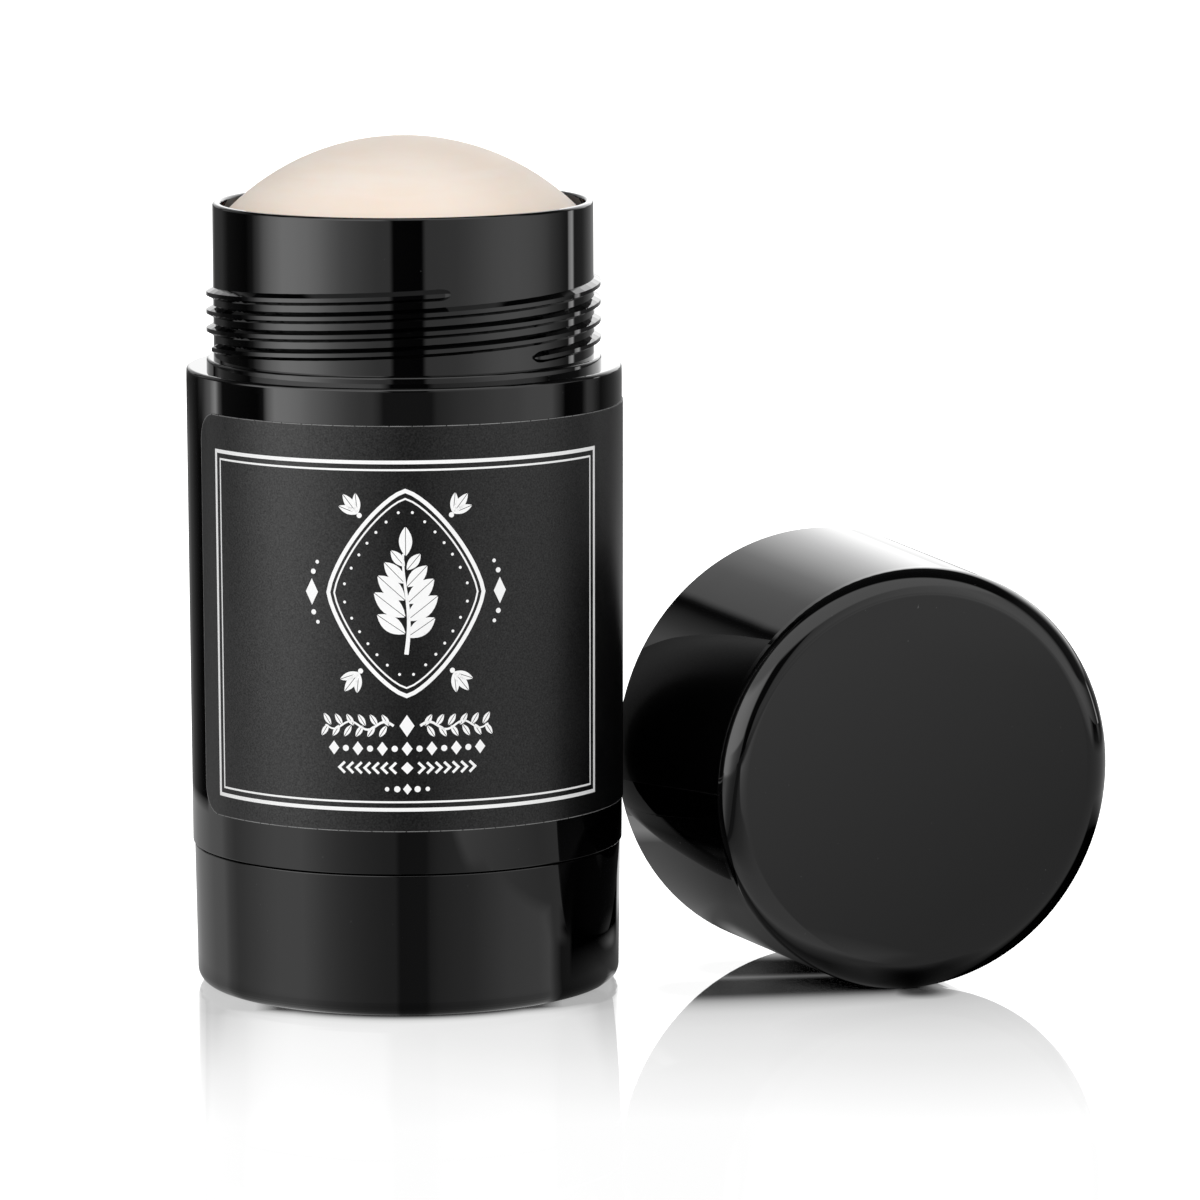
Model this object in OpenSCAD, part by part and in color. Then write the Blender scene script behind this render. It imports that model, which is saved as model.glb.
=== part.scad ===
// Round twist-up deodorant stick, full, with its screw cap lying beside it.
// Millimetres. The stick's axis is Z, its foot is at z = 0, and its label faces -Y.
// Azimuths count from the front (-Y) anticlockwise as seen from above.

/* [Barrel sleeve] */
// Outer radius at the shoulder
barrel_r = 25; // [25:0.25:28]
// How much narrower the sleeve is at the seam than at the shoulder
barrel_draft = 0.2; // [0.05:0.05:0.4]
// Height from the seam to the shoulder
barrel_h = 55.05; // [52:0.05:62]
// Wall of the sleeve
sleeve_wall = 1.5; // [1.2:0.1:1.8]
// Thickness of the shoulder deck
deck_t = 1.8; // [1.4:0.1:2.4]
// Radius of the edge round the shoulder
sleeve_edge_r = 0.4; // [0.2:0.1:0.6]
// Number of centring fins inside the sleeve
fin_count = 6; // [4:1:8]
// Thickness of a centring fin
fin_t = 1; // [0.8:0.1:1.4]

/* [Inner tube] */
// Width of the shoulder, from the barrel's side to the neck's
shoulder_w = 3.17; // [3:0.01:4]
// Wall of the tube
tube_wall = 0.98; // [0.9:0.02:1.1]
// Height of the neck above the shoulder
neck_h = 18.75; // [17:0.25:20]
// Rounding of the rim
rim_round = 0.36; // [0.2:0.02:0.4]
// How far the flange stands out from the neck
flange_reach = 0.82; // [0.6:0.02:1]
// Thickness of the flange
flange_h = 1; // [0.8:0.05:1.3]
// Number of keys that lock the tube in the sleeve
key_count = 4; // [3:1:6]
// Width of a key
key_w = 3; // [2:0.5:4]
// How far the snap lugs stand out under the deck
lug_reach = 0.4; // [0.3:0.05:0.6]
// Number of guide ribs in the bore
guide_count = 4; // [2:1:6]
// Width of a guide rib
guide_w = 1.6; // [1.2:0.1:2]
// How far a guide rib stands into the bore
guide_reach = 0.65; // [0.5:0.05:0.75]
// Distance from the rim down to the tops of the guide ribs
guide_drop = 10; // [8:0.5:11]

/* [Neck thread] */
// Number of starts
thread_starts = 3; // [2:1:3]
// Rise of one start in a full turn
thread_lead = 6.2; // [5.8:0.05:6.6]
// Degrees that each start runs round the neck
thread_turn = 452; // [360:4:480]
// Height of a ridge above the neck
ridge_h = 0.82; // [0.6:0.02:0.9]
// Width of a ridge at its root
ridge_root_w = 1.35; // [1:0.05:1.5]
// Width of a ridge at its crest
ridge_crest_w = 0.45; // [0.3:0.05:0.6]
// Height of the first ridge's low end above the shoulder
thread_rise = 2.35; // [2.2:0.05:2.8]
// Azimuth of the first ridge's low end
thread_azimuth = 42; // [0:1:120]

/* [Knob] */
// Height of the knob
knob_h = 16.35; // [15:0.05:20]
// How far the knob's top edge lies inside the sleeve's foot
seam_step = 0.2; // [0.1:0.05:0.4]
// Height of the seam between knob and sleeve
seam_gap = 0.15; // [0.1:0.05:0.5]
// Radius of the two edges that meet at the seam
seam_edge_r = 0.15; // [0.1:0.05:0.3]
// How much narrower the knob is at its foot than at the seam
knob_draft = 0.25; // [0.1:0.05:0.4]
// Radius of the foot's edge
knob_edge_r = 1.7; // [1:0.1:2]
// Wall of the knob
knob_wall = 1.6; // [1.4:0.1:2]
// Thickness of the knob's floor
knob_floor = 1.8; // [1.4:0.1:2.4]
// How far the collar stands up into the tube from the seam
collar_rise = 7; // [6.4:0.2:8]
// Wall of the collar
collar_wall = 1.4; // [1.2:0.1:1.8]
// How far the collar's snap bead stands out
snap_reach = 0.34; // [0.24:0.02:0.4]
// Number of stiffening ribs
knob_ribs = 8; // [6:1:12]
// Thickness of a stiffening rib
knob_rib_t = 1.1; // [0.9:0.1:1.4]

/* [Spindle] */
// Radius of the spindle's core
spindle_r = 3.3; // [3:0.1:3.5]
// Height of the spindle's thread
screw_h = 0.95; // [0.8:0.05:1]
// Width of the spindle's thread at its root
screw_root_w = 1.6; // [1.4:0.05:1.7]
// Width of the spindle's thread at its crest
screw_crest_w = 0.9; // [0.7:0.05:1]
// Rise of the spindle's thread in a full turn
screw_lead = 6; // [5.6:0.1:6.4]
// Number of starts on the spindle
screw_starts = 2; // [1:1:2]
// Distance from the rim down to the spindle's tip
spindle_drop = 5.8; // [5:0.2:8]
// Depth of the splined root in the knob's socket
root_depth = 9.6; // [8:0.2:11]
// Number of splines on the root
spline_count = 8; // [6:1:10]

/* [Elevator] */
// Height of the elevator's skirt, from its foot to the platform's top
elevator_h = 11.6; // [11:0.2:13]
// Wall of the skirt
skirt_wall = 1.4; // [1.3:0.1:1.6]
// Thickness of the platform
platform_t = 1.5; // [1.2:0.1:2]
// Radius of the hub that holds the nut
hub_r = 6.6; // [6.2:0.1:7.5]
// Degrees that each of the nut's threads runs round the hub
nut_turn = 240; // [180:10:270]
// Number of webs under the platform
web_count = 6; // [4:1:8]
// Number of holding fins on the platform
holder_count = 4; // [3:1:6]
// Height of a holding fin
holder_h = 5; // [3:0.5:7]

/* [Product] */
// Rise of the dome above the rim
dome_rise = 7.4; // [4:0.2:8]
// Radius of the dome
dome_r = 28.3; // [27:0.1:34]

/* [Label] */
// Thickness of the label
label_t = 0.1; // [0.08:0.02:0.14]
// Height of the label
label_h = 46; // [40:0.5:46]
// Height of the label's lower edge above the seam
label_rise = 5.05; // [3:0.05:5.05]
// Azimuth of the label's left edge
label_azimuth = -67; // [-80:0.5:-62]
// Degrees that the label runs round the barrel
label_turn = 305; // [150:5:330]
// Radius of the label's corners
label_corner_r = 3.2; // [2:0.2:5]

/* [Cap] */
// Length of the cap
cap_len = 29.7; // [29.4:0.1:34]
// How far the cap's mouth stands out past the shoulder
cap_step = 0.05; // [0:0.05:0.3]
// How much narrower the cap is at its closed end than at its mouth
cap_draft = 0.6; // [0.3:0.05:0.9]
// Radius of the closed end's edge
cap_edge_r = 1.9; // [1.2:0.1:2]
// Thickness of the closed end
cap_top_t = 1.9; // [1.5:0.1:2]
// Clearance between the cap's bore and the neck's thread
cap_clear = 0.35; // [0.3:0.05:0.45]
// Height of the cap's thread above its bore
cap_ridge_h = 0.8; // [0.6:0.05:0.85]
// Width of the cap's thread at its root
cap_ridge_w = 1.15; // [1:0.05:1.3]
// Degrees that each of the cap's threads runs round
cap_turn = 200; // [120:10:240]
// Angle between the cap's axis and the front, as it lies
cap_yaw = 21; // [10:1:40]
// Gap between the barrel and the nearest point of the cap's rim
cap_gap = 0.43; // [0.4:0.01:10]
// Angle of that point behind the stick's right side
cap_bearing = 16.26; // [10:0.02:24]

/* [Clearances] */
// Fit between pieces that are pressed or snapped together
fit = 0.05; // [0.03:0.01:0.08]
// Running clearance between pieces that slide or turn on each other
run = 0.1; // [0.08:0.01:0.14]
// Gap between the knob's thrust shelf and the tube
thrust_gap = 0.15; // [0.1:0.05:0.3]

/* [Hidden] */
$fn = 96;
eps = 0.01;

// Radii
sleeve_foot_r = barrel_r - barrel_draft;
tube_r = barrel_r - shoulder_w;
bore_r = tube_r - tube_wall;
flange_r = tube_r + flange_reach;
knob_top_r = sleeve_foot_r - seam_step;
knob_foot_r = knob_top_r - knob_draft;
collar_r = bore_r - run;
screw_r = spindle_r + screw_h;
hub_bore_r = screw_r + run + fit;
elevator_r = bore_r - 2 * run;
product_r = bore_r - run;
cap_bore_r = tube_r + ridge_h + cap_clear;
cap_mouth_r = barrel_r + cap_step;
cap_face_r = cap_mouth_r - cap_draft;
cap_x = (barrel_r + cap_gap) * cos(cap_bearing) + cap_mouth_r * cos(cap_yaw);
cap_y = (barrel_r + cap_gap) * sin(cap_bearing) + cap_mouth_r * sin(cap_yaw);

// Heights
sleeve_z = knob_h + seam_gap;
shoulder_z = sleeve_z + barrel_h;
rim_z = shoulder_z + neck_h;
collar_z = knob_h + collar_rise;
shelf_z = knob_h + 2;
tube_z = shelf_z + thrust_gap;
groove_z = tube_z + 2.3;
groove_h = 1.3;
groove_depth = snap_reach + 0.01;
socket_z = knob_floor + root_depth;
elevator_z = collar_z + 0.8;
platform_z = elevator_z + elevator_h;
spindle_z = rim_z - spindle_drop;
guide_z = rim_z - guide_drop;
label_z = knob_h + label_rise;

// Small sizes shared by pieces that meet
root_embed = 0.25;
arc_sides = 8;
thread_step = 6;
thread_taper = 3.6;
screw_step = 20;
socket_r = 6.8;
flange_disc_r = 7.8;
flange_disc_t = 1.2;
spline_core_r = 3.7;
spline_reach = 0.6;
spline_w = 1.1;
holder_t = 1.2;
holder_in_r = 9;
holder_out_r = 15.5;
fin_rise = 6;
key_reach = 0.7;
lug_drop = 0.1;
lug_h = 1.6;
lug_angle = 22;

// Unit vector outwards from a side that runs from radius r0 at the foot to r1 at height h
function side_normal(r0, r1, h) = [h, r0 - r1] / norm([h, r0 - r1]);

// Radius of the side at height z
function side_r(r0, r1, h, z) = r0 + (r1 - r0) * z / h;

// Points of an arc about c, from angle a0 to a1
function arc(c, r, a0, a1) =
    [for (i = [0 : arc_sides]) let (a = a0 + (a1 - a0) * i / arc_sides) c + r * [cos(a), sin(a)]];

// Half section of a tapered solid with rounded outer edges at its foot and top
module tapered_section(r0, r1, h, e0, e1) {
    n = side_normal(r0, r1, h);
    lean = atan2(n[1], n[0]);
    c0 = [r0 - e0 * (1 + n[1]) / n[0], e0];
    c1 = [r1 - e1 * (1 - n[1]) / n[0], h - e1];
    polygon(concat([[0, 0]], arc(c0, e0, -90, lean), arc(c1, e1, lean, 90), [[0, h]]));
}

// Repeats its child evenly round the axis
module around(count, first = 0) {
    for (i = [0 : count - 1])
        rotate(first + 360 * i / count) children();
}

// Upright plate along X, from radius r0 to r1 and from height z0 to z1
module radial_plate(r0, r1, z0, z1, t) {
    translate([r0, -t / 2, z0]) cube([r1 - r0, t, z1 - z0]);
}

// Section of a ridge with straight flanks, root_w wide at the surface, that starts inside the wall
function ridge_section(h, root_w, crest_w) =
    let (embed_w = root_w + (root_w - crest_w) * root_embed / h)
        [[-root_embed, -embed_w / 2], [h, -crest_w / 2], [h, crest_w / 2], [-root_embed, embed_w / 2]];

// The same section turned inwards, for a thread in a bore
function inward(section) = [for (p = section) -p];

// Share of a ridge's full height at angle a, rounded off over the last degrees at each end
function run_out(a, turn, taper) =
    let (t = min(1, min(a, turn - a) / taper)) 0.2 + 0.8 * sqrt(t * (2 - t));

// Ridge of the given section, swept along a right-hand helix from angle 0
module helix_ridge(r, section, lead, turn, step, taper) {
    even = turn - 2 * taper;
    count = ceil(even / step);
    shares = [0, 0.1, 0.3, 0.6];
    angles = concat(
        [for (e = shares) taper * e],
        [for (i = [0 : count]) taper + even * i / count],
        [for (i = [len(shares) - 1 : -1 : 0]) turn - taper * shares[i]]
    );
    n = len(angles) - 1;
    m = len(section);
    points = [
        for (a = angles)
            let (k = run_out(a, turn, taper))
                for (p = section)
                    let (q = r + (abs(p[0]) > root_embed + eps ? p[0] * k : p[0]))
                        [q * cos(a), q * sin(a), lead * a / 360 + p[1] * k]
    ];
    sides = [
        for (i = [0 : n - 1])
            for (j = [0 : m - 1])
                let (b = m * i, c = m * (i + 1), k = (j + 1) % m)
                    each [[b + j, b + k, c + k], [b + j, c + k, c + j]]
    ];
    first = [for (j = [m - 1 : -1 : 0]) j];
    last = [for (j = [0 : m - 1]) m * n + j];
    polyhedron(points, concat(sides, [first, last]), convexity = 10);
}

// Upper outer part of the barrel: the sleeve with its flat shoulder
module outer_sleeve() {
    inner_foot_r = sleeve_foot_r - sleeve_wall;
    inner_top_r = barrel_r - sleeve_wall;
    inner_h = barrel_h - deck_t;
    color("#17181a") translate([0, 0, sleeve_z]) {
        difference() {
            union() {
                rotate_extrude() difference() {
                    tapered_section(sleeve_foot_r, barrel_r, barrel_h, seam_edge_r, sleeve_edge_r);
                    polygon([[0, -eps], [inner_foot_r, -eps], [inner_top_r, inner_h], [0, inner_h]]);
                    square([tube_r + fit, barrel_h + 1]);
                }
                around(fin_count, 180 / fin_count) radial_plate(
                    tube_r + run, inner_foot_r + sleeve_wall / 3, fin_rise, inner_h + deck_t / 3, fin_t);
            }
            around(key_count)
                radial_plate(tube_r - 1, tube_r + key_reach + fit, inner_h - 1, barrel_h + 1, key_w + 2 * fit);
        }
    }
}

// Section of the tube's wall with its rounded rim, its flange and the groove for the knob's snap bead
module tube_section() {
    lead_in = 0.3;
    flange_edge = 0.3;
    flange_top = shoulder_z + flange_h;
    polygon(concat(
        [[bore_r + lead_in, tube_z], [tube_r, tube_z], [tube_r, shoulder_z], [flange_r, shoulder_z]],
        arc([flange_r - flange_edge, flange_top - flange_edge], flange_edge, 0, 90),
        [[tube_r, flange_top]],
        arc([tube_r - rim_round, rim_z - rim_round], rim_round, 0, 90),
        arc([bore_r + rim_round, rim_z - rim_round], rim_round, 90, 180),
        [
            [bore_r, groove_z + groove_h], [bore_r + groove_depth, groove_z + groove_h],
            [bore_r + groove_depth, groove_z], [bore_r, groove_z], [bore_r, tube_z + lead_in]
        ]
    ));
}

// Inner tube: threaded neck, flange on the shoulder, guide ribs in the bore
module inner_tube() {
    lug_z = shoulder_z - deck_t - lug_drop;
    color("#17181a") {
        rotate_extrude() tube_section();
        around(guide_count, 45)
            radial_plate(bore_r - guide_reach, tube_r - tube_wall / 2, collar_z + 0.4, guide_z, guide_w);
        around(key_count)
            radial_plate(tube_r - tube_wall / 2, tube_r + key_reach, shoulder_z - deck_t + 0.3, shoulder_z, key_w);
        around(key_count, 180 / key_count) rotate(-lug_angle / 2) rotate_extrude(angle = lug_angle)
            polygon([
                [tube_r - tube_wall / 2, lug_z], [tube_r + lug_reach, lug_z],
                [tube_r - tube_wall / 2, lug_z - lug_h]
            ]);
        around(thread_starts, thread_azimuth - 90) translate([0, 0, shoulder_z + thread_rise])
            helix_ridge(tube_r, ridge_section(ridge_h, ridge_root_w, ridge_crest_w),
                thread_lead, thread_turn, thread_step, thread_taper);
    }
}

// Wrap label with rounded corners, open at the back left
module label() {
    z0 = label_z - sleeve_z;
    z1 = z0 + label_h;
    r0 = side_r(sleeve_foot_r, barrel_r, barrel_h, z0) + fit / 2;
    r1 = side_r(sleeve_foot_r, barrel_r, barrel_h, z1) + fit / 2;
    color("#26272a") translate([0, 0, sleeve_z]) difference() {
        rotate(label_azimuth - 90) rotate_extrude(angle = label_turn)
            polygon([[r0, z0], [r0 + label_t, z0], [r1 + label_t, z1], [r1, z1]]);
        rotate(label_azimuth - 90) {
            label_corner(z0, 1, 1);
            label_corner(z1, 1, -1);
        }
        rotate(label_azimuth - 90 + label_turn) {
            label_corner(z0, -1, 1);
            label_corner(z1, -1, -1);
        }
    }
}

// Cutter that leaves a round corner where the label's edge meets height z.
// The arc's first and last facets run on past the label, so that they cut its edges at a clear angle.
module label_corner(z, side, up) {
    r = label_corner_r;
    past = 0.2;
    run_on = past / tan(45 / arc_sides);
    outline = concat(
        [[-2, -2], [r + run_on, -2], [r + run_on, -past]],
        [for (p = arc([r, r], r, 270, 180)) if (p[0] > eps && p[1] > eps) p],
        [[-past, r + run_on], [-2, r + run_on]]
    );
    translate([barrel_r - 2, 0, z]) rotate([90, 0, 90]) linear_extrude(4)
        polygon([for (p = outline) [side * p[0], up * p[1]]]);
}

// Twist base: outer shell, collar that snaps into the tube, thrust shelf, ribs and the spindle's socket
module knob() {
    inner_r = knob_top_r - knob_wall;
    inner_edge = 1;
    bead_z = groove_z + groove_h / 2;
    bead_half = 0.4;
    shelf_r = tube_r + 0.4;
    shelf_t = 1.4;
    rib_z = knob_h - 0.8;
    color("#17181a") difference() {
        union() {
            rotate_extrude() difference() {
                tapered_section(knob_foot_r, knob_top_r, knob_h, knob_edge_r, seam_edge_r);
                translate([0, knob_floor]) tapered_section(
                    knob_foot_r - knob_wall, inner_r, knob_h, inner_edge, inner_edge);
            }
            rotate_extrude() polygon([
                [collar_r - collar_wall, knob_floor - eps], [collar_r, knob_floor - eps],
                [collar_r, shelf_z - shelf_t - (shelf_r - collar_r)], [shelf_r, shelf_z - shelf_t],
                [shelf_r, shelf_z], [collar_r, shelf_z], [collar_r, bead_z - bead_half - snap_reach],
                [collar_r + snap_reach - eps, bead_z - bead_half + 0.05],
                [collar_r + snap_reach - eps, bead_z],
                [collar_r, bead_z + 2 * bead_half], [collar_r, collar_z - 0.3],
                [collar_r - 0.3, collar_z], [collar_r - collar_wall, collar_z]
            ]);
            around(knob_ribs)
                radial_plate(collar_r - collar_wall / 2, inner_r + knob_wall / 3, knob_floor - eps, rib_z, knob_rib_t);
            around(knob_ribs)
                radial_plate(socket_r - 1, collar_r - collar_wall / 2, knob_floor - eps, socket_z - 3, knob_rib_t);
            translate([0, 0, knob_floor - eps]) cylinder(r = socket_r, h = socket_z - knob_floor + eps);
        }
        translate([0, 0, knob_floor]) cylinder(r = spline_core_r + fit, h = root_depth + 1);
        around(spline_count) radial_plate(
            0, spline_core_r + spline_reach + fit, knob_floor, socket_z + 1, spline_w + 2 * fit);
    }
}

// Screw that lifts the elevator, with a splined root in the knob
module spindle() {
    screw_z = socket_z + flange_disc_t + 1.5;
    tip_h = 1.6;
    turn = 360 * (spindle_z - tip_h - screw_z) / screw_lead;
    color("#e9e7e0") {
        translate([0, 0, knob_floor + fit]) cylinder(r = spline_core_r, h = root_depth);
        around(spline_count) radial_plate(
            0, spline_core_r + spline_reach, knob_floor + fit, socket_z - 0.5, spline_w);
        rotate_extrude() polygon([
            [0, socket_z], [flange_disc_r, socket_z], [flange_disc_r, socket_z + flange_disc_t],
            [spindle_r + 1, socket_z + flange_disc_t], [spindle_r, socket_z + flange_disc_t + 1],
            [spindle_r, spindle_z - 1], [spindle_r - 1, spindle_z], [0, spindle_z]
        ]);
        around(screw_starts) translate([0, 0, screw_z])
            helix_ridge(spindle_r, ridge_section(screw_h, screw_root_w, screw_crest_w),
                screw_lead, turn, screw_step, screw_step);
    }
}

// Fins on the platform that hold the product
module holders() {
    around(holder_count)
        radial_plate(holder_in_r, holder_out_r, platform_z - platform_t / 2, platform_z + holder_h, holder_t);
}

// Notches that run along the guide ribs, cut from z0 to z1 with the given side clearance
module guide_notches(z0, z1, clear) {
    around(guide_count, 45)
        radial_plate(bore_r - guide_reach - clear, bore_r + 1, z0, z1, guide_w + 2 * clear);
}

// Carrier with the nut for the spindle
module elevator() {
    nut_z = elevator_z + 1.2;
    space = screw_lead / screw_starts;
    nut_h = hub_bore_r - spindle_r - run - fit;
    nut_root_w = space - screw_crest_w - 2 * (run + fit);
    nut_crest_w = space - screw_root_w - run - fit;
    // The nut's threads lie midway between the spindle's, at the same angle
    screw_z = socket_z + flange_disc_t + 1.5;
    phase = 360 * (nut_z + space / 2 - screw_z) / screw_lead;
    color("#e9e7e0") {
        difference() {
            union() {
                translate([0, 0, elevator_z]) rotate_extrude() {
                    translate([elevator_r - skirt_wall, 0]) square([skirt_wall, elevator_h]);
                    translate([hub_bore_r, 0]) square([hub_r - hub_bore_r, elevator_h]);
                    translate([hub_bore_r, elevator_h - platform_t])
                        square([elevator_r - hub_bore_r, platform_t]);
                }
                around(web_count, 180 / web_count) radial_plate(
                    hub_bore_r + 1, elevator_r - skirt_wall / 2,
                    platform_z - platform_t - 5, platform_z - platform_t / 2, 1);
                holders();
            }
            guide_notches(elevator_z - 1, platform_z + 1, 2 * run);
        }
        around(screw_starts, phase) translate([0, 0, nut_z + space / 2])
            rotate(180 / screw_starts)
                helix_ridge(hub_bore_r, inward(ridge_section(nut_h, nut_root_w, nut_crest_w)),
                    screw_lead, nut_turn, screw_step, screw_step);
    }
}

// Domed product, moulded round the fins, the guide ribs and the spindle
module product_stick() {
    apex_z = rim_z + dome_rise;
    well_r = hub_bore_r + run;
    color("#efe0ce") difference() {
        rotate_extrude() intersection() {
            translate([0, platform_z]) square([product_r, apex_z - platform_z]);
            translate([0, apex_z - dome_r]) union() {
                circle(dome_r, $fn = 180);
                translate([0, -apex_z]) square([product_r, apex_z]);
            }
        }
        translate([0, 0, platform_z - 1]) cylinder(r = well_r, h = spindle_z - platform_z + 1 + run);
        guide_notches(platform_z - 1, guide_z + run, run);
        holders();
    }
}

// Cap in its own frame: mouth at z = 0, closed end up
module cap_body() {
    cap_space = thread_lead / thread_starts;
    inner_r = cap_bore_r - 0.3;
    inner_h = cap_len - cap_top_t;
    lead_in = 0.4;
    start = 60;
    rotate_extrude() difference() {
        tapered_section(cap_mouth_r, cap_face_r, cap_len, 0.3, cap_edge_r);
        polygon([
            [0, -eps], [cap_bore_r + lead_in, -eps], [cap_bore_r, lead_in + 0.2],
            [inner_r, inner_h - 1.5], [inner_r - 1.5, inner_h], [0, inner_h]
        ]);
    }
    around(thread_starts, thread_azimuth - 90 + start)
        translate([0, 0, thread_rise - cap_space / 2 + thread_lead * start / 360])
            helix_ridge(cap_bore_r, inward(ridge_section(cap_ridge_h, cap_ridge_w, ridge_crest_w)),
                thread_lead, cap_turn, thread_step, thread_taper);
}

// Cap as it lies: its lowest line on the floor, mouth away from the front
module cap() {
    tilt = atan((cap_mouth_r - cap_face_r) / cap_len);
    color("#17181a") translate([cap_x, cap_y, cap_mouth_r * cos(tilt)])
        rotate([0, 0, cap_yaw]) rotate([90 + tilt, 0, 0]) cap_body();
}

outer_sleeve();
inner_tube();
label();
knob();
spindle();
elevator();
product_stick();
cap();
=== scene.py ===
"""Looks of the twist-up stick and its cap: materials, print, fine detail, light, floor and camera."""
import math

import bmesh
import bpy
from mathutils import Matrix, Vector


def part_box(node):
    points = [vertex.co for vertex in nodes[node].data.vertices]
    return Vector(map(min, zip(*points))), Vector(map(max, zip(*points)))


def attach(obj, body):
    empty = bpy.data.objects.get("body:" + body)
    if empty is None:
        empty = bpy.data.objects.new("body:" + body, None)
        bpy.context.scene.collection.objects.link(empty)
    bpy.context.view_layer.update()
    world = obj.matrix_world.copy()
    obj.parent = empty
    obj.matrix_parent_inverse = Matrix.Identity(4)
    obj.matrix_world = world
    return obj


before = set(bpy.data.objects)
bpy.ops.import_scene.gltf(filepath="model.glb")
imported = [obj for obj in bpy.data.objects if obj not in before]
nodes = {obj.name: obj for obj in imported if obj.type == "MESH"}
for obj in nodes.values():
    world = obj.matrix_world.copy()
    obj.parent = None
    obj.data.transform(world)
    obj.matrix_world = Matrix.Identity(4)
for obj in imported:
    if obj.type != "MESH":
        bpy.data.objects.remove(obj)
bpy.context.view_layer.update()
scene = bpy.context.scene
MM = 0.001

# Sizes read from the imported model

sleeve_lo, sleeve_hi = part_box("outer_sleeve")
label_lo, label_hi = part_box("label")

LABEL_Z0, LABEL_Z1 = label_lo.z, label_hi.z
LABEL_R1 = label_hi.y
LABEL_R0 = LABEL_R1 - 0.2 * MM * (LABEL_Z1 - LABEL_Z0) / (sleeve_hi.z - sleeve_lo.z)
LABEL_LEFT = -67.0
LABEL_TURN = 305.0
LABEL_CORNER = 3.2 * MM


def label_r(z):
    """Outer radius of the label at height z."""
    t = (z - LABEL_Z0) / (LABEL_Z1 - LABEL_Z0)
    return LABEL_R0 + (LABEL_R1 - LABEL_R0) * t


def on_label(u, z, lift):
    """Point on the label: u is the distance round the barrel from the front, z the height."""
    r = label_r(z) + lift
    a = u / LABEL_R1
    return Vector((r * math.sin(a), -r * math.cos(a), z))


# Node helpers


class Graph:
    """Adds and links shader nodes in a material's or the world's tree."""

    def __init__(self, owner):
        owner.use_nodes = True
        self.tree = owner.node_tree
        self.tree.nodes.clear()

    def add(self, kind, inputs=None, **settings):
        node = self.tree.nodes.new("ShaderNode" + kind)
        for name, value in settings.items():
            setattr(node, name, value)
        for key, value in (inputs or {}).items():
            self.put(node.inputs[key], value)
        return node

    def put(self, socket, value):
        if isinstance(value, bpy.types.NodeSocket):
            self.tree.links.new(value, socket)
        else:
            socket.default_value = value

    def math(self, operation, a, b=0.0, clamp=False):
        node = self.add("Math", {0: a, 1: b}, operation=operation, use_clamp=clamp)
        return node.outputs[0]

    def noise(self, vector, scale, detail=2.0, rough=0.5):
        node = self.add("TexNoise", {"Vector": vector, "Scale": scale, "Detail": detail, "Roughness": rough})
        return node.outputs["Fac"]

    def stretched(self, vector, scale):
        return self.add("Mapping", {"Vector": vector, "Scale": scale}).outputs[0]

    def remap(self, value, a, b, c, d, smooth=False):
        node = self.add("MapRange", {0: value, 1: a, 2: b, 3: c, 4: d})
        node.interpolation_type = "SMOOTHSTEP" if smooth else "LINEAR"
        return node.outputs[0]

    def rise(self, value, a, b, smooth=False):
        """0 up to a, 1 from b on."""
        return self.remap(value, a, b, 0.0, 1.0, smooth)

    def fall(self, value, a, b, smooth=False):
        """1 up to a, 0 from b on."""
        return self.remap(value, a, b, 1.0, 0.0, smooth)

    def product(self, first, *others):
        for other in others:
            first = self.math("MULTIPLY", first, other)
        return first

    def vector(self, operation, a, b=None):
        """Vector result of a vector operation; b is the factor for SCALE."""
        inputs = {0: a} if b is None else {0: a, "Scale" if operation == "SCALE" else 1: b}
        return self.add("VectorMath", inputs, operation=operation).outputs["Vector"]

    def number(self, operation, a, b=None):
        """Number that a vector operation gives."""
        return self.add("VectorMath", {0: a} if b is None else {0: a, 1: b}, operation=operation).outputs["Value"]

    def ramp(self, value, stops):
        """Level or colour by value, between the given stops."""
        node = self.add("ValToRGB", {0: value})
        elements = node.color_ramp.elements
        while len(elements) > 1:
            elements.remove(elements[-1])
        for i, (place, colour) in enumerate(stops):
            e = elements[0] if i == 0 else elements.new(place)
            e.position = place
            e.color = (*colour, 1.0) if isinstance(colour, tuple) else (colour, colour, colour, 1.0)
        return node.outputs[0]

    def mix(self, fac, a, b):
        node = self.add("Mix", {0: fac, 6: (*a, 1) if isinstance(a, tuple) else a,
                                7: (*b, 1) if isinstance(b, tuple) else b}, data_type="RGBA")
        return node.outputs[2]

    def bump(self, height, strength, distance, normal=None):
        inputs = {"Strength": strength, "Distance": distance, "Height": height}
        if normal is not None:
            inputs["Normal"] = normal
        return self.add("Bump", inputs).outputs[0]

    def finish(self, shader, kind="OutputMaterial"):
        out = self.add(kind)
        self.tree.links.new(shader, out.inputs[0])


def object_space(g):
    return g.add("TexCoord").outputs["Object"]


# Materials


COS_SAME_WALL = 0.993


def round_normal(g):
    """Normal of a true round wall, where the surface is within a few degrees of one; its own normal elsewhere."""
    own = g.add("NewGeometry").outputs["Normal"]
    out = g.vector("NORMALIZE", g.vector("MULTIPLY", object_space(g), (1, 1, 0)))
    share = g.math("GREATER_THAN", g.number("DOT_PRODUCT", own, out), COS_SAME_WALL)
    return g.add("Mix", {0: share, 4: own, 5: out}, data_type="VECTOR").outputs[1]


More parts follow.
